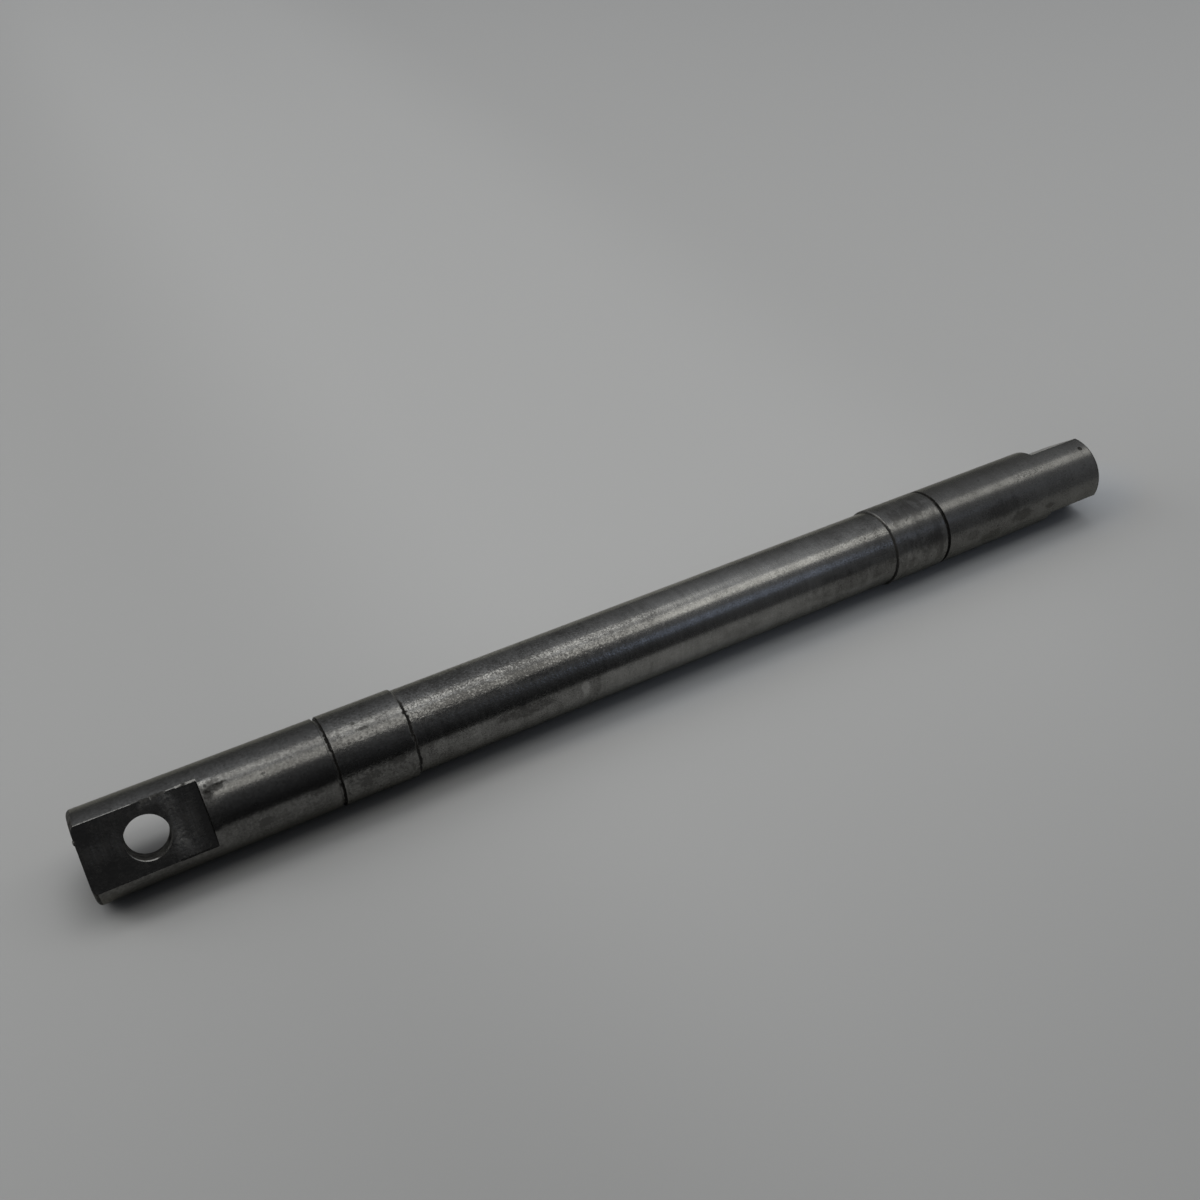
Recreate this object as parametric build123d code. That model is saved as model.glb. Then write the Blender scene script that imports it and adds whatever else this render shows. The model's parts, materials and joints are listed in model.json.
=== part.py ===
from build123d import *
import math
import os

# A straight shaft with driven ends, made in one piece from steel bar.
#
# It is turned and ground between centres, then milled. From its left end it has: two flats with a
# cross hole through them, a round stretch that the bearing slides over, a retaining ring groove,
# a ground bearing journal, the plain centre, and then the same features in reverse order. The
# right end's flats are shorter, have no hole, and stand at a quarter turn to the left end's.
#
# Frame: millimetres, +X along the shaft from the cross hole's end to the other end, +Z up, and
# the origin on the shaft's axis at mid-length. The shaft lies on its side on its two journals,
# rolled so that its left flats stand at flats_roll from level.

# ---- Diameters ----
journal_dia = 25.4          # ground bearing seats, one inch
outboard_clearance = 0.1    # the ends are this much under the journals, so that a bearing passes
journal_step = 0.6          # height of each journal above the plain centre, which is left as turned

# ---- Lengths, from the left end to the right ----
left_flat_length = 30.9
left_outboard_length = 32.4     # round stretch from the flats' shoulder to the ring groove
left_journal_length = 21.15
centre_length = 164.6
right_journal_length = 20.75
right_outboard_length = 46.4
right_flat_length = 21.8

# ---- Retaining ring grooves ----
groove_width = 1.2
groove_depth = 0.76         # below the journal

# ---- Edges ----
end_chamfer = 1.1           # on the round of both ends
chamfer_crown = 0.03        # how far the stoned chamfer stands proud of a straight cone
journal_chamfer = 0.3       # where each journal steps down to the centre
groove_edge_break = 0.1
flat_root_radius = 0.4      # left by the cutter's corner at each flat's shoulder
hole_edge_break = 0.2

# ---- Milled flats ----
left_across_flats = 18.1
right_across_flats = 20.7
flats_roll = 47.3           # degrees from straight up to the left front flat's normal, about X
quarter_turn = 90.0         # from the left flats to the right ones

# ---- Cross hole ----
cross_hole_dia = 11.3
cross_hole_from_end = 15.9

# ---- Centre holes that the shaft was turned on, in both end faces ----
centre_mouth_dia = 6.7
centre_pilot_dia = 3.15
centre_pilot_depth = 7.0
centre_cone_angle = 60.0
drill_point_angle = 118.0

# ---- Stations along X ----
overall_length = (left_flat_length + left_outboard_length + groove_width + left_journal_length
                  + centre_length
                  + right_journal_length + groove_width + right_outboard_length + right_flat_length)
left_end = -overall_length / 2
left_shoulder = left_end + left_flat_length
left_groove = left_shoulder + left_outboard_length
left_journal = left_groove + groove_width
left_step = left_journal + left_journal_length
right_step = left_step + centre_length
right_journal_end = right_step + right_journal_length
right_groove_end = right_journal_end + groove_width
right_shoulder = right_groove_end + right_outboard_length
right_end = right_shoulder + right_flat_length

journal_r = journal_dia / 2
outboard_r = (journal_dia - outboard_clearance) / 2
centre_r = journal_r - journal_step
groove_r = journal_r - groove_depth


def crowned_chamfer(end, inward):
    """The chamfer's outline at one end: a line from the face to the round, bulged a little."""
    middle = end_chamfer / 2 - chamfer_crown / math.sqrt(2)
    return ThreePointArc((end, outboard_r - end_chamfer),
                         (end + inward * middle, outboard_r - middle),
                         (end + inward * end_chamfer, outboard_r))


def turned_blank():
    """The bar as it leaves the lathe and grinder: half its outline, spun about X."""
    between_chamfers = [
        (left_end + end_chamfer, outboard_r),
        (left_groove - groove_edge_break, outboard_r),
        (left_groove, outboard_r - groove_edge_break),
        (left_groove, groove_r),
        (left_journal, groove_r),
        (left_journal, journal_r - groove_edge_break),
        (left_journal + groove_edge_break, journal_r),
        (left_step - journal_chamfer, journal_r),
        (left_step, journal_r - journal_chamfer),
        (left_step, centre_r),
        (right_step, centre_r),
        (right_step, journal_r - journal_chamfer),
        (right_step + journal_chamfer, journal_r),
        (right_journal_end - groove_edge_break, journal_r),
        (right_journal_end, journal_r - groove_edge_break),
        (right_journal_end, groove_r),
        (right_groove_end, groove_r),
        (right_groove_end, outboard_r - groove_edge_break),
        (right_groove_end + groove_edge_break, outboard_r),
        (right_end - end_chamfer, outboard_r),
    ]
    down_the_ends = Polyline((left_end, outboard_r - end_chamfer), (left_end, 0),
                             (right_end, 0), (right_end, outboard_r - end_chamfer))
    outline = (down_the_ends + crowned_chamfer(left_end, 1) + Polyline(*between_chamfers)
               + crowned_chamfer(right_end, -1))
    return revolve(make_face(Plane.XZ * outline), Axis.X, 360)


def centre_hole(x, into):
    """A 60 degree centre hole: into is +1 where the bar lies on its +X side, or -1."""
    mouth_r = centre_mouth_dia / 2
    pilot_r = centre_pilot_dia / 2
    cone_depth = (mouth_r - pilot_r) / math.tan(math.radians(centre_cone_angle / 2))
    point_depth = pilot_r / math.tan(math.radians(drill_point_angle / 2))
    outline = [
        (x, 0),
        (x, mouth_r),
        (x + into * cone_depth, pilot_r),
        (x + into * centre_pilot_depth, pilot_r),
        (x + into * (centre_pilot_depth + point_depth), 0),
    ]
    face = make_face(Plane.XZ * Polyline(*outline, close=True))
    return revolve(face, Axis.X, 360)


def flat_cutters(end, shoulder, across_flats, roll):
    """The two blocks of waste milled away beside a tongue, with the cutter's corner radius."""
    past_end = 5.0
    reach = journal_dia
    length = abs(end - shoulder) + past_end
    outward = math.copysign(1.0, end - shoulder)
    middle = shoulder + outward * length / 2
    cutters = []
    for side in (1, -1):
        block = Pos(middle, 0, side * (across_flats / 2 + reach / 2)) * Box(length, 2 * reach, reach)
        root = (block.edges().filter_by(Axis.Y)
                .sort_by(lambda edge: abs(edge.center().X - shoulder)
                         + abs(edge.center().Z - side * across_flats / 2))[0])
        cutters.append(Rot(roll, 0, 0) * fillet(root, flat_root_radius))
    return cutters


def cross_hole():
    """The round hole through both left flats, with its edges broken."""
    radius = cross_hole_dia / 2
    drill = Cylinder(radius, 2 * journal_dia)
    for side in (1, -1):
        rim = Cone(radius, radius + 2 * hole_edge_break, 2 * hole_edge_break)
        drill += Pos(0, 0, side * left_across_flats / 2) * (Rot(0 if side > 0 else 180, 0, 0) * rim)
    return Pos(left_end + cross_hole_from_end, 0, 0) * (Rot(flats_roll, 0, 0) * drill)


shaft = turned_blank()
shaft -= centre_hole(left_end, 1)
shaft -= centre_hole(right_end, -1)
for cutter in flat_cutters(left_end, left_shoulder, left_across_flats, flats_roll):
    shaft -= cutter
for cutter in flat_cutters(right_end, right_shoulder, right_across_flats, flats_roll - quarter_turn):
    shaft -= cutter
shaft -= cross_hole()
shaft = shaft.solid()
shaft.label = "shaft"

os.makedirs("parts", exist_ok=True)
export_step(shaft, "parts/shaft.step")
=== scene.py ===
import json
import math
import random

import bpy
from mathutils import Matrix, Vector


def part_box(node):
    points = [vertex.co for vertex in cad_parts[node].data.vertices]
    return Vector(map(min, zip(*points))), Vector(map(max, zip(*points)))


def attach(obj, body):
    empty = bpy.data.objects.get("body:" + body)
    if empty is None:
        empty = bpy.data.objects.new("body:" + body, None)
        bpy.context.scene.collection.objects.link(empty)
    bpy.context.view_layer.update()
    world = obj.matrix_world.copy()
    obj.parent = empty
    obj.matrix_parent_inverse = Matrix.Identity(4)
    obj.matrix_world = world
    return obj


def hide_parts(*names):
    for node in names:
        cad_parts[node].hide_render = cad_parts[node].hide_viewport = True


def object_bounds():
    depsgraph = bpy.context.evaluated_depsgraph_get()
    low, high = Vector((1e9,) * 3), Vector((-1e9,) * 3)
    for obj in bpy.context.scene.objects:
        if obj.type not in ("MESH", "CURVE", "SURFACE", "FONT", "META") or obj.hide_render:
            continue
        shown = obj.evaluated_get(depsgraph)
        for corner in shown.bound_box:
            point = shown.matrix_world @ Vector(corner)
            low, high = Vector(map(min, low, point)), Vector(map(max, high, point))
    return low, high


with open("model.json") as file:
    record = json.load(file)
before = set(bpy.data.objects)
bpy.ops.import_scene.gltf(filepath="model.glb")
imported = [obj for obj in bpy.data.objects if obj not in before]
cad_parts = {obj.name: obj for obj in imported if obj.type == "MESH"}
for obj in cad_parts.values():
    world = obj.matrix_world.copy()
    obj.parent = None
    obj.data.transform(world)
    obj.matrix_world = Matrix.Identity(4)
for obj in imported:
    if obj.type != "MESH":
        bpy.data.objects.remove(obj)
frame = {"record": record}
cad_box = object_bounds()

# ---------------------------------------------------------------------------------------------
# The turned bar. The shaft is one bar of round steel, turned between centres: chamfered ends, a
# ring groove inside each end seat, two ground journals, and between them a long centre that is
# turned a little smaller. It is drawn as its lathe outline, carried round a ring of points.
# ---------------------------------------------------------------------------------------------
MM = 0.001
mounts = {mount["name"]: mount for mount in frame["record"]["mounts"]}
left_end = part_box("shaft")[0].x
right_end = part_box("shaft")[1].x


def radius_of(name):
    return mounts[name]["dims"]["r_mm"] * MM


def stretch_of(name):
    """Where a round mount starts and stops along the shaft."""
    middle = mounts[name]["pos_m"][0]
    half = mounts[name]["dims"]["length_mm"] * MM / 2
    return middle - half, middle + half


seat_r = radius_of("left_outboard")
journal_r = radius_of("left_journal")
groove_r = radius_of("left_ring_groove")
centre_step = 0.6 * MM
centre_r = journal_r - centre_step
end_chamfer = 1.1 * MM
journal_chamfer = 0.3 * MM
groove_edge = 0.1 * MM

left_groove, left_journal = stretch_of("left_ring_groove")
right_journal, right_groove = stretch_of("right_ring_groove")
left_step = stretch_of("left_journal")[1] + journal_chamfer
right_step = stretch_of("right_journal")[0] - journal_chamfer
left_flat_length = 30.9 * MM
right_flat_length = 21.8 * MM
left_shoulder = left_end + left_flat_length
right_shoulder = right_end - right_flat_length

# Close rings of points beside the left shoulder, where the steel is bruised further down.
bruised_length = 9 * MM
bruise_rings = 18
bruised = [
    (left_shoulder + bruised_length * ring / bruise_rings, seat_r)
    for ring in range(bruise_rings + 1)]


def worn_chamfer(end, inwards):
    """The outline of an end chamfer, from the end face on, bellied a little by wear."""
    steps = 6
    belly = 0.22 * MM
    points = []
    for step in range(steps + 1):
        part = step / steps
        proud = belly * math.sin(part * math.pi) * math.sqrt(0.5)
        points.append((end + inwards * (end_chamfer * part - proud),
                       seat_r - end_chamfer * (1 - part) + proud))
    return points


bar_outline = [
    *worn_chamfer(left_end, 1),
    *bruised,
    (left_groove - groove_edge, seat_r),
    (left_groove, seat_r - groove_edge),
    (left_groove, groove_r),
    (left_journal, groove_r),
    (left_journal, journal_r - groove_edge),
    (left_journal + groove_edge, journal_r),
    (left_step - journal_chamfer, journal_r),
    (left_step, journal_r - journal_chamfer),
    (left_step, centre_r),
    (right_step, centre_r),
    (right_step, journal_r - journal_chamfer),
    (right_step + journal_chamfer, journal_r),
    (right_journal - groove_edge, journal_r),
    (right_journal, journal_r - groove_edge),
    (right_journal, groove_r),
    (right_groove, groove_r),
    (right_groove, seat_r - groove_edge),
    (right_groove + groove_edge, seat_r),
    *reversed(worn_chamfer(right_end, -1)),
]

# The points round the bar are turned so that no edge of a milled flat runs close beside a row.
points_round = 144
rows_turned = 0.42
turned_by = rows_turned * math.tau / points_round


def settle():
    """Puts the place, turn and scale of the active piece into its mesh."""
    bpy.ops.object.transform_apply(location=True, rotation=True, scale=True)


def turn_up(name, outline, points):
    """Turns a solid about X. Its outline is a list of places along X, each with a radius."""
    start, start_r = outline[0]
    bpy.ops.object.select_all(action="DESELECT")
    bpy.ops.mesh.primitive_circle_add(
        vertices=points, radius=start_r, fill_type="NGON", location=(start, 0, 0),
        rotation=(0, math.pi / 2, 0))
    piece = bpy.context.object
    piece.name = name
    settle()
    bpy.ops.object.mode_set(mode="EDIT")
    bpy.ops.mesh.select_all(action="SELECT")
    for (x_before, r_before), (x_now, r_now) in zip(outline, outline[1:]):
        bpy.ops.mesh.extrude_region_move(TRANSFORM_OT_translate={"value": (x_now - x_before, 0, 0)})
        grown = r_now / r_before
        bpy.ops.transform.resize(value=(1, grown, grown), center_override=(x_now, 0, 0))
    bpy.ops.mesh.select_all(action="SELECT")
    bpy.ops.mesh.normals_make_consistent(inside=False)
    bpy.ops.object.mode_set(mode="OBJECT")
    return piece


bar = turn_up("shaft_bar", bar_outline, points_round)
bar.rotation_euler = (turned_by, 0, 0)
settle()

# ---------------------------------------------------------------------------------------------
# The knocks. The skin beside the left shoulder is bruised: the shoulder's edge is rolled over, a
# lip stands up at its top corner, and a nick runs away from it.
# ---------------------------------------------------------------------------------------------


def work_on(piece):
    """Makes one piece the only one that is selected."""
    bpy.ops.object.select_all(action="DESELECT")
    piece.select_set(True)
    bpy.context.view_layer.objects.active = piece


def choose(piece, kind, wanted):
    """Selects the points, edges or faces of a piece that pass a test, and opens it for editing."""
    work_on(piece)
    bpy.ops.object.mode_set(mode="EDIT")
    bpy.ops.mesh.select_mode(type=kind)
    bpy.ops.mesh.select_all(action="DESELECT")
    bpy.ops.object.mode_set(mode="OBJECT")
    items = {"VERT": piece.data.vertices, "EDGE": piece.data.edges, "FACE": piece.data.polygons}[kind]
    for item in items:
        item.select = wanted(item)
    bpy.ops.object.mode_set(mode="EDIT")


def on_skin(place, stretch, arc):
    """Whether a place is in a stretch of the bar, in millimetres, and an arc in degrees from +Y."""
    angle = math.degrees(math.atan2(place.z, place.y)) % 360
    return stretch[0] <= place.x / MM <= stretch[1] and arc[0] <= angle <= arc[1]


def press(stretch, arc, depth, reach):
    """Presses a part of the skin in, and less and less over the reach. A depth under 0 raises it."""
    choose(bar, "VERT", lambda point: on_skin(point.co, stretch, arc))
    shrunk = 1 - depth * MM / seat_r
    bpy.ops.transform.resize(
        value=(1, shrunk, shrunk), center_override=(0, 0, 0), use_proportional_edit=True,
        proportional_edit_falloff="SMOOTH", proportional_size=reach * MM)
    bpy.ops.object.mode_set(mode="OBJECT")


knocked_stretch = (-139.4, -132.2)
knocked_arc = (90, 128)
choose(bar, "FACE", lambda face: on_skin(face.center, knocked_stretch, knocked_arc))
bpy.ops.mesh.subdivide(number_cuts=2)
bpy.ops.object.mode_set(mode="OBJECT")
rolled_edge = ((-139.4, -139.2), (100, 178), 0.1, 0.7)
sunk_corner = ((-139.4, -138.6), (110, 152), 0.2, 2.2)
lip = ((-138.65, -138.05), (97, 108), -0.1, 0.5)
nick = ((-136.6, -134.6), (105, 112), 0.1, 0.9)
for stretch, arc, depth, reach in (rolled_edge, sunk_corner, lip, nick):
    press(stretch, arc, depth, reach)

# ---------------------------------------------------------------------------------------------
# The milled flats. A cutter has taken two parallel flats off each end, square to a shoulder, with
# the cutter's own corner left in the root. The right pair is a quarter turn from the left pair.
# ---------------------------------------------------------------------------------------------
root_radius = 0.4 * MM
root_steps = 8
past_end = 4 * MM
block_height = 26 * MM
flats = {
    "left": (mounts["left_flat_front"], left_end, left_shoulder),
    "right": (mounts["right_flat_upper"], right_end, right_shoulder),
}


def combine(body, tool, operation):
    """Takes the tool's shape out of the body, or welds it on, and clears the tool away."""
    modifier = body.modifiers.new("shape", "BOOLEAN")
    modifier.operation = operation
    modifier.solver = "EXACT"
    modifier.object = tool
    work_on(body)
    bpy.ops.object.modifier_apply(modifier=modifier.name)
    bpy.data.objects.remove(tool)


for flat, end, shoulder in flats.values():
    across = math.hypot(flat["pos_m"][1], flat["pos_m"][2])
    roll = math.atan2(-flat["axis"][1], flat["axis"][2])
    outwards = math.copysign(past_end, end - shoulder)
    for turn in (0, math.pi):
        bpy.ops.object.select_all(action="DESELECT")
        bpy.ops.mesh.primitive_cube_add(
            size=1, location=((shoulder + end + outwards) / 2, 0, across + block_height / 2),
            scale=(abs(end + outwards - shoulder), 2 * block_height, block_height))
        cutter = bpy.context.object
        settle()

        def at_root(edge):
            ends = [cutter.data.vertices[point].co for point in edge.vertices]
            return all(math.isclose(place.x, shoulder, abs_tol=0.001 * MM)
                       and math.isclose(place.z, across, abs_tol=0.001 * MM) for place in ends)

        choose(cutter, "EDGE", at_root)
        bpy.ops.mesh.bevel(offset=root_radius, segments=root_steps)
        bpy.ops.mesh.select_all(action="SELECT")
        bpy.ops.mesh.normals_make_consistent(inside=False)
        bpy.ops.object.mode_set(mode="OBJECT")
        cutter.rotation_euler = (roll + turn, 0, 0)
        settle()
        combine(bar, cutter, "DIFFERENCE")

# ---------------------------------------------------------------------------------------------
# The drilled holes. One hole goes square through the left flats. Each end face keeps the centre
# hole that the bar was turned on: a 60 degree mouth and a short pilot.
# ---------------------------------------------------------------------------------------------
hole = mounts["cross_hole"]
hole_r = radius_of("cross_hole")
hole_axis = Vector(hole["axis"])
down_the_flat = Vector((0, -hole_axis.z, hole_axis.y))
drill_wander = 0.24 * MM
drilled_at = Vector(hole["pos_m"]) + drill_wander * down_the_flat
rim_break = 0.16 * MM
rim_slant = Vector((0, 0.3, -0.7))
rim_reach = 1.2 * MM
points_in_hole = 96
centre_mouth_r = 3.35 * MM
pilot_r = 1.575 * MM
pilot_depth = 7 * MM
mouth_angle = 60
drill_point_angle = 118
mouth_slope = math.tan(math.radians(mouth_angle / 2))
point_slope = math.tan(math.radians(drill_point_angle / 2))
mouth_depth = (centre_mouth_r - pilot_r) / mouth_slope
clear_of_face = 1 * MM
chisel_r = 0.1 * MM
points_in_centre = 48

left_across = math.hypot(*mounts["left_flat_front"]["pos_m"][1:])
rim = left_across - rim_break
drill = turn_up("drill", [
    (-rim - rim_reach, hole_r + rim_reach), (-rim, hole_r), (rim, hole_r),
    (rim + rim_reach, hole_r + rim_reach)], points_in_hole)
# The drill wandered a little down the flat, and the countersink was held askew: it cut deeper on
# the lower side of the rim.
for point in drill.data.vertices:
    if abs(point.co.x) > rim + rim_reach / 2:
        point.co += rim_reach * rim_slant
drill.rotation_euler = hole_axis.to_track_quat("X", "Z").to_euler()
drill.location = drilled_at
settle()
combine(bar, drill, "DIFFERENCE")

centre_outline = [
    (-clear_of_face, centre_mouth_r + mouth_slope * clear_of_face),
    (mouth_depth, pilot_r),
    (pilot_depth, pilot_r),
    (pilot_depth + (pilot_r - chisel_r) / point_slope, chisel_r),
]
for end, inwards in ((left_end, 1), (right_end, -1)):
    placed_outline = [(end + inwards * deep, wide) for deep, wide in centre_outline]
    centre_drill = turn_up("centre_drill", placed_outline, points_in_centre)
    combine(bar, centre_drill, "DIFFERENCE")

# ---------------------------------------------------------------------------------------------
# The worn edges. Handling has rubbed the long edges of the flats to narrow bright facets of uneven
# width. One is wider beside the left shoulder. The hole's rims are broken with a countersink.
# ---------------------------------------------------------------------------------------------
wear = random.Random(7)
edge_gap = 0.05 * MM
stone_width = 3 * MM
stone_height = 1.5 * MM
tuft_length = 0.4 * MM
fewest_tufts = 4


def rub_edge(x_from, x_to, corner, facing, depth, wander):
    """Rubs an edge along the bar to a facet. The corner and the facing are angles from +Y."""
    tufts = max(fewest_tufts, round((x_to - x_from) / tuft_length))
    bpy.ops.object.select_all(action="DESELECT")
    bpy.ops.mesh.primitive_grid_add(x_subdivisions=tufts, y_subdivisions=1, size=1)
    stone = bpy.context.object
    stone.scale = (x_to - x_from, stone_width, 1)
    settle()
    for point in stone.data.vertices:
        point.co.z = wear.gauss(0, wander)
    bpy.ops.object.mode_set(mode="EDIT")
    bpy.ops.mesh.select_all(action="SELECT")
    bpy.ops.mesh.extrude_region_move(TRANSFORM_OT_translate={"value": (0, 0, stone_height)})
    bpy.ops.mesh.select_all(action="SELECT")
    bpy.ops.mesh.normals_make_consistent(inside=False)
    bpy.ops.object.mode_set(mode="OBJECT")
    outwards = Vector((0, math.cos(facing), math.sin(facing)))
    on_edge = Vector((0, seat_r * math.cos(corner), seat_r * math.sin(corner)))
    on_edge.x = (x_from + x_to) / 2
    stone.location = on_edge
    stone.location -= depth * outwards
    stone.rotation_euler = (facing - math.pi / 2, 0, 0)
    settle()
    combine(bar, stone, "DIFFERENCE")


rubbed_towards_skin = 0.8
past_face = 1 * MM
rub_depth = 0.03 * MM
rub_wander = 0.008 * MM
corners = {}
for name, (flat, end, shoulder) in flats.items():
    across = math.hypot(flat["pos_m"][1], flat["pos_m"][2])
    half_arc = math.acos(across / seat_r)
    flat_angle = math.atan2(flat["axis"][2], flat["axis"][1])
    corners[name] = (flat_angle - half_arc, flat_angle + half_arc)
    inner = shoulder - math.copysign(edge_gap, shoulder - end)
    outer = end + math.copysign(past_face, end - shoulder)
    for turn in (0, math.pi):
        for side in (-1, 1):
            rub_edge(
                min(inner, outer), max(inner, outer), flat_angle + turn + side * half_arc,
                flat_angle + turn + side * half_arc * rubbed_towards_skin, rub_depth, rub_wander)

upper_corner, lower_corner = corners["left"]
rub_edge(
    -144.6 * MM, left_shoulder - edge_gap, upper_corner, upper_corner + math.radians(18),
    depth=0.12 * MM, wander=0.02 * MM)
rub_edge(
    -153.4 * MM, -147.0 * MM, upper_corner, upper_corner + math.radians(30),
    depth=0.13 * MM, wander=0.09 * MM)
rub_edge(
    left_end - past_face, left_shoulder - edge_gap, lower_corner, lower_corner - math.radians(28),
    depth=0.04 * MM, wander=0.012 * MM)
rub_edge(
    -149 * MM, left_shoulder - edge_gap, lower_corner, lower_corner - math.radians(28),
    depth=0.1 * MM, wander=0.02 * MM)

# A punch mark on the right tongue, and a burr on the left end's edge.
pit_x = 166.3 * MM
pit_angle = math.radians(105.2)
pit_place = Vector((pit_x, seat_r * math.cos(pit_angle), seat_r * math.sin(pit_angle)))
pit_r = 0.85 * MM
bpy.ops.object.select_all(action="DESELECT")
bpy.ops.mesh.primitive_cone_add(vertices=24, radius1=0, radius2=2 * pit_r, depth=2 * pit_r)
punch = bpy.context.object
punch.location = pit_place
punch.rotation_euler = Vector((0, pit_place.y, pit_place.z)).to_track_quat("Z", "X").to_euler()
settle()
combine(bar, punch, "DIFFERENCE")

burr_across = -4.9 * MM
burr_inside = 0.1 * MM
burr_size = (0.4 * MM, 0.8 * MM, 0.7 * MM)
burr_roughness = 0.04 * MM
burr_place = left_across * hole_axis + burr_across * down_the_flat
bpy.ops.object.select_all(action="DESELECT")
bpy.ops.mesh.primitive_ico_sphere_add(
    subdivisions=2, radius=1, scale=burr_size,
    location=(left_end + burr_inside, burr_place.y, burr_place.z))
burr = bpy.context.object
settle()
for point in burr.data.vertices:
    point.co.x += wear.gauss(0, burr_roughness)
combine(bar, burr, "UNION")

# The cuts leave a few doubled points, which are merged before the round skin is shaded smooth.
doubled_within = 0.001 * MM
smooth_below = math.radians(15)
work_on(bar)
bpy.ops.object.mode_set(mode="EDIT")
bpy.ops.mesh.select_all(action="SELECT")
bpy.ops.mesh.remove_doubles(threshold=doubled_within)
bpy.ops.object.mode_set(mode="OBJECT")
bpy.ops.object.shade_smooth_by_angle(angle=smooth_below)

# ---------------------------------------------------------------------------------------------
# The steel. It is bare ground steel under a thin dark film of oil and handling, which is thickest
# at the two ends and worn away towards the middle.
# ---------------------------------------------------------------------------------------------


class Signal:
    """One value of a finish as it varies over the steel. A sum on it adds its own nodes."""

    def __init__(self, finish, socket):
        self.finish = finish
        self.socket = socket

    def worked(self, operation, first, second):
        return self.finish.add("ShaderNodeMath", {"operation": operation}, {0: first, 1: second})

    def __add__(self, other):
        return self.worked("ADD", self, other)

    def __radd__(self, other):
        return self.worked("ADD", other, self)

    def __sub__(self, other):
        return self.worked("SUBTRACT", self, other)

    def __rsub__(self, other):
        return self.worked("SUBTRACT", other, self)

    def __mul__(self, other):
        return self.worked("MULTIPLY", self, other)

    def __rmul__(self, other):
        return self.worked("MULTIPLY", other, self)

    def __truediv__(self, other):
        return self.worked("DIVIDE", self, other)

    def unsigned(self):
        """The value without its sign."""
        return self.worked("ABSOLUTE", self, 0.0)

    def rise(self, low, high):
        """Nought up to low, one from high on, and a smooth rise between."""
        return self.finish.add(
            "ShaderNodeMapRange", {"interpolation_type": "SMOOTHSTEP"},
            {"Value": self, "From Min": low, "From Max": high})

    def at_least(self, floor):
        return self.worked("MAXIMUM", self, floor)

    def at_most(self, ceiling):
        return self.worked("MINIMUM", self, ceiling)


class Finish:
    """The node tree of one finish. Its noise has sizes in millimetres."""

    def __init__(self, tree):
        self.tree = tree

    def add(self, kind, settings, inputs, output=0):
        """Adds a node: its settings first, then the values or links of its sockets."""
        node = self.tree.nodes.new(kind)
        stops = settings.get("stops")
        for name, value in settings.items():
            if name != "stops":
                setattr(node, name, value)
        if stops:
            elements = node.color_ramp.elements
            while len(elements) < len(stops):
                elements.new(1)
            for element, (position, grey) in zip(elements, stops):
                element.position = position
                element.color = (grey, grey, grey, 1)
        for name, value in inputs.items():
            if isinstance(value, Signal):
                self.tree.links.new(value.socket, node.inputs[name])
            else:
                node.inputs[name].default_value = value
        return Signal(self, node.outputs[output])

    def vector(self, operation, first, second):
        return self.add("ShaderNodeVectorMath", {"operation": operation}, {0: first, 1: second})

    def noise(self, size, detail=2.0, roughness=0.5, stretch=(1, 1, 1), start=0.0):
        """Cloudy noise with features about so many millimetres across, stretched along each axis."""
        scaled = [1 / (size * MM * along) for along in stretch]
        place = self.vector("MULTIPLY", self.place, scaled)
        moved = self.vector("ADD", place, (start, start, start))
        return self.add(
            "ShaderNodeTexNoise", {"noise_dimensions": "3D"},
            {"Vector": moved, "Scale": 1.0, "Detail": detail, "Roughness": roughness})

    def rings(self, pitch, start=0.0):
        """The fine rings that a tool or a stone leaves round the bar."""
        return self.noise(pitch, detail=1.0, stretch=(1, 60, 60), start=start)


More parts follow.
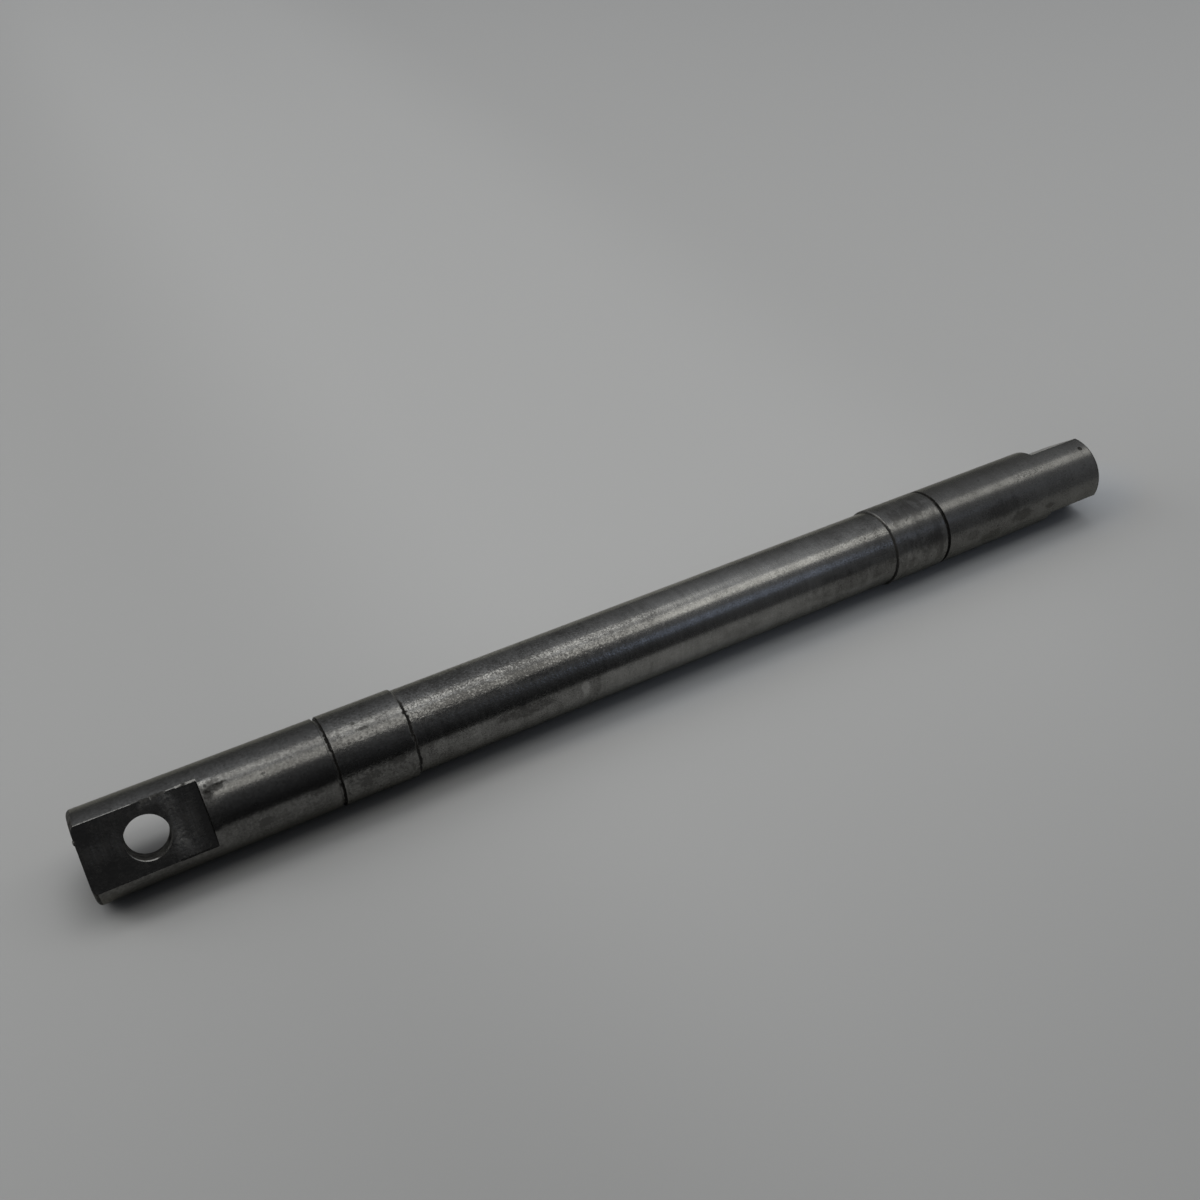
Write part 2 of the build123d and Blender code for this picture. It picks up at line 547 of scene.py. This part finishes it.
class Steel(Finish):
    """A steel finish, on the places of the shaft."""

    def __init__(self, name):
        self.material = bpy.data.materials.new(name)
        self.material.use_nodes = True
        super().__init__(self.material.node_tree)
        self.shader = self.tree.nodes["Principled BSDF"]
        self.shader.inputs["Metallic"].default_value = 1
        self.shader.inputs["Specular Tint"].default_value = (0.77, 0.76, 0.70, 1)
        self.shader.inputs["Specular IOR Level"].default_value = 0.15
        self.place = self.add("ShaderNodeTexCoord", {}, {}, "Object")
        self.x = self.add("ShaderNodeSeparateXYZ", {}, {0: self.place}) / MM
        self.height = self.add("ShaderNodeSeparateXYZ", {}, {0: self.place}, "Z") / MM
        self.frays = {}

    def film(self):
        """How thick the dark film lies along the shaft, from nought to one."""
        along = (self.x - left_end / MM) / ((right_end - left_end) / MM)
        thickness = [(0.0, 0.80), (0.18, 0.80), (0.22, 0.76), (0.30, 0.64), (0.41, 0.47), (0.52, 0.29),
                     (0.634, 0.42), (0.705, 0.60), (0.77, 0.74), (0.86, 0.76), (0.96, 0.68)]
        return self.add("ShaderNodeValToRGB", {"stops": thickness}, {"Fac": along})

    def fray(self, size):
        """Noise that makes the rims of worn patches ragged, from -0.5 to 0.5."""
        if size not in self.frays:
            self.frays[size] = self.noise(size, detail=3.0, roughness=0.6, start=21.0) - 0.5
        return self.frays[size]

    def patch(self, centre, angle, length, width, ragged=0.8, size=1.2, soft=0.32):
        """A patch: one inside, nought outside. Its length runs along the bar, its width round it."""
        reach_into_steel = 6
        edge = 0.92
        inside = self.add(
            "ShaderNodeMapping", {"vector_type": "TEXTURE"},
            {"Vector": self.place, "Location": centre, "Rotation": (math.radians(angle), 0, 0),
             "Scale": (length * MM / 2, reach_into_steel * MM, width * MM / 2)})
        out = self.add("ShaderNodeVectorMath", {"operation": "LENGTH"}, {0: inside}, "Value")
        return 1 - (out + 2 * ragged * self.fray(size)).rise(edge - soft, edge + soft)

    def spot(self, x, angle, length, width, **rim):
        """A patch on the round skin. The angle is in degrees from +Y."""
        turn = math.radians(angle)
        centre = (x * MM, seat_r * math.cos(turn), seat_r * math.sin(turn))
        return self.patch(centre, angle, length, width, **rim)

    def spots(self, marks, **rim):
        """The sum of several spots. Each mark is x, an angle, a length, a width and a strength."""
        total = 0.0
        for x, angle, length, width, strength in marks:
            total = total + strength * self.spot(x, angle, length, width, **rim)
        return total

    def finish(self, film, roughness, relief, grime_and_shade):
        """Joins the film, the polish, the relief in millimetres, and the caked dirt and painted shade,
        to the shader.
        """
        clean_steel = (0.30, 0.2965, 0.283, 1)
        dark_film = (0.086, 0.084, 0.080, 1)
        caked_dirt_and_shade = (0.017, 0.016, 0.0145, 1)
        colour = self.add(
            "ShaderNodeMix", {"data_type": "RGBA"},
            {"Factor": film, 6: clean_steel, 7: dark_film}, 2)
        colour = self.add(
            "ShaderNodeMix", {"data_type": "RGBA"}, {"Factor": grime_and_shade, 6: colour, 7: caked_dirt_and_shade}, 2)
        bare_metal = (1 - 0.9 * grime_and_shade).at_least(0.1)
        roughness = roughness + 0.45 * grime_and_shade
        bump = self.add("ShaderNodeBump", {}, {"Strength": 1.0, "Distance": MM, "Height": relief})
        self.tree.links.new(colour.socket, self.shader.inputs["Base Color"])
        self.tree.links.new(bare_metal.socket, self.shader.inputs["Metallic"])
        self.tree.links.new(roughness.socket, self.shader.inputs["Roughness"])
        self.tree.links.new(bump.socket, self.shader.inputs["Normal"])

    def dirt_and_shade_line(self, x, width, jagged=1.0):
        """A dark jagged line round the bar: dirt and painted shade in a step or corner."""
        strays = jagged * (1.1 * self.fray(0.8) + 1.4 * self.fray(2.5))
        off = self.x - x / MM + strays
        return 1 - off.unsigned().rise(0.35 * width, width)

    def left_step_line(self, width):
        """The dark line of dirt and painted shade at the left step, which fades over the top of the
        bar.
        """
        faded = self.spot(left_step / MM, 64, 7, 11, soft=0.6)
        return self.dirt_and_shade_line(left_step, width) * (1 - 0.85 * faded)

    def right_step_line(self):
        """The thinner dark line of dirt and painted shade at the right step, which nearly fades out
        over the top of the bar.
        """
        faded = self.spot(right_step / MM, 70, 7, 15, soft=0.6)
        return 0.75 * self.dirt_and_shade_line(right_step, 0.42, 0.5) * (1 - 0.6 * faded)


def seat_steel():
    """The ground end seats: faint rings and mottling, with dirty specks and stains."""
    steel = Steel("ground_seat_steel")
    grain = steel.noise(0.9, detail=2.0) - 0.5
    pits = steel.noise(0.8, detail=2.0, start=5.0) - 0.5
    rings = steel.rings(0.4) - 0.5
    clouds = steel.noise(7.0, detail=5.0, roughness=0.6) - 0.5
    specks = steel.noise(1.1, detail=2.0, start=7.0).rise(0.66, 0.74)
    at_left = (-1 * steel.x).rise(60, 110)
    speckle = steel.noise(0.45, detail=1.0, start=15.0) - 0.5
    stains = steel.spots([
        (-126.7, 174, 5, 3, 0.3), (-112, 160, 6, 3, 0.2), (120.3, 187, 9, 4, 0.3),
        (133, 172, 10, 4, 0.3), (146.4, 174, 4, 2, 0.3), (126, 150, 16, 6, 0.2),
        (112, 172, 6, 4, 0.2)], size=2.6)
    dirt = steel.spots([
        (-123.8, 116.7, 1.3, 0.7, 0.35), (141.5, 158, 2.2, 0.7, 0.3),
        (153, 94, 1.5, 0.8, 0.3)], size=0.7)
    dented = steel.spot(140.5, 112.8, 13, 2.2, ragged=1.2, soft=0.5)
    bare = steel.spots([
        (-138.1, 103.5, 1.7, 3.2, 0.45), (-137.2, 98.5, 3.6, 1.0, 0.4)], size=0.7)
    dull = steel.spots([
        (-138.1, 122, 4.6, 11, 0.25), (-137.9, 138, 5, 8, 0.3), (-136.8, 108.5, 6, 3.2, 0.8)],
        ragged=0.4, soft=0.6)
    film = (steel.film() + 0.5 * clouds + 0.25 * specks + 0.15 * rings + (0.3 + 0.3 * at_left) * pits
            + 0.35 * speckle + 0.8 * dented * pits + stains - bare + 0.25 * dull)
    polish = (0.265 - 0.05 * at_left + 0.12 * clouds + 0.08 * specks + 0.06 * at_left * pits
              + 0.1 * speckle + 0.3 * dull)
    relief = (0.015 + 0.015 * at_left + 0.06 * dull + 0.14 * dented) * grain + 0.01 * rings
    grime_and_shade = dirt + steel.spots([
        (-135.9, 111.5, 5.4, 2.2, 0.5), (-134.0, 108.5, 3.4, 0.9, 0.4), (-137.9, 105.5, 0.9, 1.0, 0.55),
        (-138.0, 117.5, 2.6, 2.8, 0.55)], size=0.7)
    steel.finish(film, polish, relief, grime_and_shade)
    return steel.material


def journal_steel():
    """The ground journals, more scuffed than the seats."""
    steel = Steel("ground_journal_steel")
    grain = steel.noise(0.8, detail=2.0) - 0.5
    pits = steel.noise(0.8, detail=2.0, roughness=0.6, start=5.0) - 0.5
    rings = steel.rings(0.35) - 0.5
    clouds = steel.noise(5.0, detail=5.0, roughness=0.65) - 0.5
    specks = steel.noise(1.3, detail=2.0, start=3.0).rise(0.64, 0.72)
    at_left = (-1 * steel.x).rise(-20, 20)
    speckle = steel.noise(0.45, detail=1.0, start=15.0) - 0.5
    marbling = steel.noise(2.4, detail=4.0, roughness=0.6, stretch=(1, 3, 3), start=9.0) - 0.5
    scuffs = (1 - at_left) * marbling
    stains = steel.spots([
        (-90.5, 160, 5, 3, 0.5), (-99, 172, 6, 4, 0.25), (90, 100, 17, 6, 0.25),
        (85, 148, 5, 4, 0.2), (95, 155, 7, 5, 0.2)], size=2.6)
    dirt = steel.spots([
        (-98.2, 98.8, 1.2, 0.9, 0.5), (-96.4, 109.5, 3.4, 1.0, 0.45),
        (-101, 121, 1.5, 0.6, 0.3)], size=0.7)
    grime_and_shade = dirt + steel.left_step_line(0.7) + steel.right_step_line()
    film = (steel.film() + 0.8 * clouds + 0.3 * specks + 0.15 * rings + (0.4 + 0.7 * at_left) * pits
            + 0.35 * speckle + 1.1 * scuffs + stains)
    polish = (0.27 - 0.043 * at_left + 0.16 * clouds + 0.1 * specks + (0.05 + 0.2 * at_left) * pits
              + 0.12 * speckle + 0.3 * scuffs)
    relief = (0.02 + 0.03 * at_left) * grain + 0.012 * rings + 0.05 * scuffs
    steel.finish(film, polish, relief, grime_and_shade.at_most(1.0))
    return steel.material


def centre_steel():
    """The turned centre: pitted by rust that was rubbed off at its left, and smooth at its right."""
    steel = Steel("turned_centre_steel")
    along = (steel.x - left_step / MM) / ((right_step - left_step) / MM)
    pitting = steel.add(
        "ShaderNodeValToRGB",
        {"stops": [(0.0, 1.0), (0.12, 1.0), (0.35, 0.75), (0.5, 0.25), (0.8, 0.3), (0.95, 0.5)]},
        {"Fac": along}) * (0.3 + 0.7 * steel.height.rise(4.5, 9.5))
    grain = steel.noise(0.7, detail=2.0) - 0.5
    pits = steel.noise(0.8, detail=2.0, roughness=0.6, start=5.0) - 0.5
    rings = steel.rings(0.6) - 0.5
    clouds = steel.noise(9.0, detail=5.0, roughness=0.6) - 0.5
    streaks = steel.noise(1.6, detail=3.0, stretch=(1, 5, 5), start=2.0) - 0.5
    speckle = steel.noise(0.45, detail=1.0, start=15.0) - 0.5
    smears = steel.spots([
        (-68, 93, 36, 5, 0.15), (-56, 119, 62, 4.5, 0.25), (-70, 116, 10, 3, 0.15),
        (-52, 166, 18, 4, 0.35), (-33.5, 171, 2.6, 6, -0.5), (-30, 171, 3.5, 6.5, 0.3),
        (62, 168, 38, 7, 0.3), (20, 178, 14, 4, 0.2), (-78, 168, 7, 5, -0.2),
        (-27, 104, 62, 15, 0.2), (6, 110, 40, 3, 0.2)], size=4.0)
    mottle = steel.noise(2.6, detail=3.0, roughness=0.6, start=8.0) - 0.5
    film = (steel.film() + 0.8 * clouds + 1.2 * pitting * pits + 0.2 * rings + 0.4 * streaks
            + 0.4 * mottle + (0.4 + 1.1 * pitting) * speckle + smears)
    polish = 0.225 + 0.1 * clouds + 0.25 * pitting * pits + (0.2 + 0.65 * pitting) * speckle
    relief = 0.06 * pitting * grain + 0.012 * rings
    line = steel.left_step_line(0.75) + steel.right_step_line()
    steel.finish(film, polish, relief, line.at_most(1.0))
    return steel.material


def milled_steel():
    """The milled flats and shoulders: a dark, cloudy film over fine lines across the shaft, with
    painted shade beside the left shoulder.
    """
    steel = Steel("milled_steel")
    lines = steel.rings(0.5) - 0.5
    grain = steel.noise(0.8, detail=3.0, roughness=0.6) - 0.5
    clouds = steel.noise(4.0, detail=5.0, roughness=0.65, start=11.0) - 0.5
    face_angle = math.degrees(math.atan2(hole_axis.z, hole_axis.y))

    def on_flat(x, below, length, width, strength, size=1.2):
        """A patch on the front flat, so far below its middle line."""
        centre = left_across * hole_axis + below * MM * down_the_flat
        return strength * steel.patch(
            (x * MM, centre.y, centre.z), face_angle, length, width, ragged=0.9, size=size, soft=0.7)

    lighter = (on_flat(-166, -0.9, 6, 6, 0.3) + on_flat(-161.1, -0.9, 2.6, 8, 0.35, 0.7)
               + on_flat(-147.4, -6.3, 4, 5, 0.5, 0.7) + on_flat(-147.4, 0.6, 3, 8, 0.5, 0.7)
               + on_flat(-147.4, 5.8, 6, 6, 0.5) + on_flat(-144.2, 1, 8, 17, 0.35)
               + on_flat(-150.5, -7.8, 7, 2.2, 0.5, 0.7))
    # The long patch at -139.6 beside the shoulder is film and painted shade at the shoulder's root; the
    # other dark patches are in the film.
    darker_with_root_shade = (on_flat(-167.9, -5.9, 3.6, 4.4, 1.0) + on_flat(-164.4, 5.3, 10, 6, 0.5)
              + on_flat(-139.6, 0, 2.8, 22, 1.2) + on_flat(-152.5, 7.7, 6, 2.4, 0.4))
    strokes = steel.noise(0.9, detail=3.0, stretch=(1, 5, 5), start=6.0) - 0.5
    at_right = steel.x.rise(0, 1)
    film = (1.05 + 0.5 * clouds + 0.4 * lines + 0.8 * grain + 0.8 * strokes - 0.5 * lighter
            + 0.6 * darker_with_root_shade)
    polish = (0.21 + 0.25 * clouds + 0.3 * grain + 0.3 * strokes + 0.26 * lighter
              + 0.5 * lighter * (grain + strokes) - 0.14 * darker_with_root_shade)
    grime_and_shade = (0.05 + 0.5 * clouds + 0.4 * grain).at_least(0.0).at_most(0.5)
    grime_and_shade = grime_and_shade * (1 - at_right) * (1 - darker_with_root_shade.at_most(1.0))
    relief = 0.02 * lines + (0.05 + 0.1 * lighter) * grain * (1 - at_right)
    steel.finish(film, polish.at_least(0.12), relief, grime_and_shade)
    return steel.material


def worn_steel():
    """The rubbed edges and the knocks: bare bright steel with a little dirt left in its dents."""
    steel = Steel("worn_edge_steel")
    dents = steel.noise(0.9, detail=3.0, roughness=0.6)
    dirt = steel.noise(2.2, detail=3.0, start=4.0).rise(0.5, 0.7)
    smudge = steel.x.rise(-154.2, -153) * (1 - steel.x.rise(-147.6, -146.4))
    dirt = (dirt + smudge * (0.3 + dents)).at_most(1.0)
    steel.finish(0.5 + 0.5 * dirt, 0.34 + 0.2 * dirt, 0.05 * dents, 0.6 * dirt)
    return steel.material


def bore_steel():
    """The drilled hole: the rings a drill leaves, dirt in patches, and painted shade darkening the
    whole bore.
    """
    steel = Steel("drilled_steel")
    deep = steel.add(
        "ShaderNodeVectorMath", {"operation": "DOT_PRODUCT"},
        {0: steel.place, 1: hole_axis / MM}, "Value")
    rings = steel.add(
        "ShaderNodeTexNoise", {"noise_dimensions": "1D"}, {"W": deep * 2.0, "Detail": 2.0})
    dirt = steel.noise(2.0, detail=3.0).rise(0.45, 0.65)
    # The steady darkening of 0.5 is painted shade inside the hole; the patchy part is dirt.
    steel.finish(0.9 + 0.4 * dirt, 0.4 + 0.1 * dirt, 0.04 * rings, 0.5 + 0.4 * dirt)
    return steel.material


def groove_steel():
    """The ring grooves, darkened by dirt and painted shade: all through the right one, and only in a
    corner of the left one.
    """
    steel = Steel("groove_steel")
    dirt = steel.noise(1.5, detail=3.0, roughness=0.6) - 0.5
    corner = steel.dirt_and_shade_line(left_journal - 0.2 * MM, 0.5)
    dark_right_groove = steel.x.rise(0, 1) * (0.75 + 1.5 * dirt)
    steel.finish(0.85 + 0.9 * dirt, 0.3 + 0.3 * dirt, 0.05 * dirt, (corner + dark_right_groove).at_most(1.0))
    return steel.material


def faced_steel():
    """The end faces, the chamfers and the centre holes, with the rings of the facing tool."""
    steel = Steel("faced_steel")
    off_axis = steel.vector("MULTIPLY", steel.place, (0, 1 / MM, 1 / MM))
    outwards = steel.add("ShaderNodeVectorMath", {"operation": "LENGTH"}, {0: off_axis}, "Value")
    rings = steel.add(
        "ShaderNodeTexNoise", {"noise_dimensions": "1D"}, {"W": outwards * 3.0, "Detail": 2.0})
    clouds = steel.noise(3.0, detail=4.0) - 0.5
    grain = steel.noise(0.9, detail=3.0, start=8.0) - 0.5
    film = 1.0 + 0.9 * clouds + 0.8 * grain
    grime_and_shade = 0.5 + 0.4 * (clouds + grain).rise(-0.1, 0.3)
    steel.finish(film, 0.4 + 0.3 * clouds, 0.04 * rings + 0.04 * grain, grime_and_shade)
    return steel.material


finishes = [
    seat_steel(), journal_steel(), centre_steel(), milled_steel(), worn_steel(), bore_steel(),
    groove_steel(), faced_steel()]
SEAT, JOURNAL, CENTRE, MILLED, WORN, BORE, GROOVE, FACED = range(len(finishes))
bar.data.materials.clear()
for material in finishes:
    bar.data.materials.append(material)

hair = 0.02 * MM


def finish_of(face):
    """Which finish a face of the bar has, by its place and the way it faces."""
    middle, facing = face.center, face.normal
    off_axis = math.hypot(middle.y, middle.z)
    off_hole = (middle - drilled_at).cross(hole_axis).length
    from_end = min(middle.x - left_end, right_end - middle.x)
    in_flats = middle.x < left_shoulder + hair or middle.x > right_shoulder - hair
    lengthways = abs(facing.x) > 0.3
    into_hole = abs(facing.dot(hole_axis)) < 0.9
    outwards = facing.dot(Vector((0, middle.y, middle.z)).normalized())
    if (middle - pit_place).length < pit_r + hair and outwards < 0.98:
        return FACED
    if off_hole < hole_r + hair and into_hole:
        return BORE
    if off_hole < hole_r + rim_break and into_hole:
        return WORN
    if off_axis < centre_mouth_r and lengthways or off_axis < pilot_r or from_end < hair:
        return FACED
    if from_end < end_chamfer and lengthways:
        return FACED
    for flat, end, shoulder in flats.values():
        square = abs(facing.dot(Vector(flat["axis"])))
        if abs(middle.x - end) < abs(shoulder - end) + hair:
            if square > 0.9999 or off_axis < seat_r - end_chamfer:
                return MILLED
    if in_flats and lengthways:
        return MILLED
    if in_flats and outwards < 0.99:
        return WORN if facing.z > 0.6 else SEAT
    for inner, outer in ((left_journal, left_groove), (right_journal, right_groove)):
        if abs(middle.x - (inner + outer) / 2) < abs(outer - inner) / 2 + groove_edge:
            return GROOVE
    if left_step - hair < middle.x < right_step + hair:
        return CENTRE
    if left_journal < middle.x < right_journal:
        return JOURNAL
    return SEAT


for face in bar.data.polygons:
    face.material_index = finish_of(face)

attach(bar, "root")
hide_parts("shaft")

# ---------------------------------------------------------------------------------------------
# The bench, the light and the camera. The shaft lies on a pale bench in a dim room, under two long
# soft lamps, with a bluish window in front and a lamp at the left. The room is darker in front, and
# lighter towards the right.
# ---------------------------------------------------------------------------------------------
bench_size = 12
bench_front = -0.205
bpy.ops.object.select_all(action="DESELECT")
bpy.ops.mesh.primitive_plane_add(
    size=bench_size, location=(0, bench_front + bench_size / 2, cad_box[0].z))
bench = bpy.context.object
bench.name = "bench"
settle()
bench_material = bpy.data.materials.new("pale_bench")
bench_material.use_nodes = True
bench_shader = bench_material.node_tree.nodes["Principled BSDF"]
bench_shader.inputs["Roughness"].default_value = 0.8
bench_top = Finish(bench_material.node_tree)
on_bench = bench_top.add("ShaderNodeTexCoord", {}, {}, "Object")
depth = bench_top.add("ShaderNodeSeparateXYZ", {}, {0: on_bench}, "Y")
rightwards = bench_top.add("ShaderNodeSeparateXYZ", {}, {0: on_bench}, "X")
leftwards = -1 * rightwards
off_bar = depth.unsigned()
# A contact shadow is painted onto the bench close under the left half of the bar.
beside_left_half = leftwards.rise(-0.05, 0.12) * (1 - leftwards.rise(0.160, 0.182))
close_to_bar = (1 - off_bar.rise(0.003, 0.018)) * (1 - 0.8 * depth.rise(0.0, 0.012))
painted_contact_shadow = 0.62 * beside_left_half * close_to_bar
# Painted light makes the bench paler at the back, and painted shade makes it a little darker at both
# sides.
front_paleness = 0.31
painted_light_at_back = 0.205
shade = (1 - 0.13 * leftwards.rise(0.02, 0.13)) * (1 - 0.07 * rightwards.rise(0.1, 0.2))
paleness_with_painted_light_and_shade = (front_paleness + painted_light_at_back * depth.rise(-0.36, 0.08)) * shade * (1 - painted_contact_shadow)
# Next to the bar's right half the bench is tinted the cool blue of a painted shadow; it is warm
# elsewhere.
painted_shadow_blue = (0.96, 1.0, 1.045, 1)
warm_bench = (1.0, 0.998, 0.982, 1)
past_bar = off_bar.rise(0.004, 0.028) + leftwards.rise(0.0, 0.12) + rightwards.rise(0.175, 0.215)
tint = bench_top.add(
    "ShaderNodeMix", {"data_type": "RGBA"},
    {"Factor": past_bar.at_most(1.0), 6: painted_shadow_blue, 7: warm_bench}, 2)
bench_colour = bench_top.vector("MULTIPLY", paleness_with_painted_light_and_shade, tint)
bench_material.node_tree.links.new(bench_colour.socket, bench_shader.inputs["Base Color"])
bench.data.materials.append(bench_material)

room = bpy.data.worlds.new("room")
room.use_nodes = True
bpy.context.scene.world = room
walls = Finish(room.node_tree)
towards = walls.add("ShaderNodeTexCoord", {}, {}, "Generated")
right = walls.add("ShaderNodeSeparateXYZ", {}, {0: towards}, "X")
back = walls.add("ShaderNodeSeparateXYZ", {}, {0: towards}, "Y")
up = walls.add("ShaderNodeSeparateXYZ", {}, {0: towards}, "Z")
doorway = right.rise(0.25, 0.4) * (1 - right.rise(0.52, 0.62))
back_wall = 0.18 + 0.1 * up + 0.48 * up * up * up - 0.2 * doorway * (0.3 - up).at_least(0.0)
front_wall = 0.02 + 0.5 * (right - 0.37).at_least(0.0) + 0.2 * up * up
left_window = 0.5 * (0.0 - right).rise(0.15, 0.7) * up.rise(0.1, 0.6)
behind = back.rise(-0.1, 0.1)
radiance = front_wall + behind * (back_wall - front_wall + left_window)
seen = walls.add("ShaderNodeLightPath", {}, {}, "Is Camera Ray")
background = room.node_tree.nodes["Background"]
backdrop = (0.33, 0.33, 0.33, 1)
cool = walls.vector("MULTIPLY", radiance, (0.97, 1.0, 1.06))
seen_wall = walls.add(
    "ShaderNodeMix", {"data_type": "RGBA"}, {"Factor": seen, 6: cool, 7: backdrop}, 2)
room.node_tree.links.new(seen_wall.socket, background.inputs["Color"])


def lamp(name, place, aim, length, width, radiance, colour=(1, 1, 1), turned=0.0):
    """A flat soft lamp that shines with an even radiance from its whole face."""
    light = bpy.data.lights.new(name, "AREA")
    light.shape = "RECTANGLE"
    light.size = length
    light.size_y = width
    light.energy = radiance * math.pi * length * width
    light.color = colour
    holder = bpy.data.objects.new(name, light)
    bpy.context.scene.collection.objects.link(holder)
    holder.location = place
    facing = (Vector(aim) - Vector(place)).to_track_quat("-Z", "Y").to_matrix()
    holder.rotation_euler = (Matrix.Rotation(math.radians(turned), 3, "Z") @ facing).to_euler()


warm = (1, 0.99, 0.945)
lamp("back_lamp", (-0.90, 0.41, 1.4), (-0.90, 0, 0), 3.2, 0.426, 1.2, warm)
lamp("top_lamp", (0.75, -0.19, 1.4), (0.75, 0, 0), 2.5, 0.53, 1.25, warm, 6.8)
lamp("window_lamp", (0.81, -1.08, 0.97), (0.1, 0, 0), 0.53, 0.42, 0.25, (0.75, 0.93, 1.35))
lamp("side_lamp", (-1.4, 0.9, 1.1), (0, 0, 0), 1.0, 1.0, 2.0, warm)

camera_data = bpy.data.cameras.new("camera")
camera_data.sensor_width = 36
camera_data.lens = 36.226
camera = bpy.data.objects.new("camera", camera_data)
bpy.context.scene.collection.objects.link(camera)
azimuth, elevation = math.radians(-29.76), math.radians(40.73)
camera.location = (-150.53 * MM, -224.48 * MM, 244.11 * MM)
camera.rotation_euler = (math.pi / 2 - elevation, 0, azimuth)
bpy.context.scene.camera = camera
bpy.context.scene.view_settings.view_transform = "Standard"
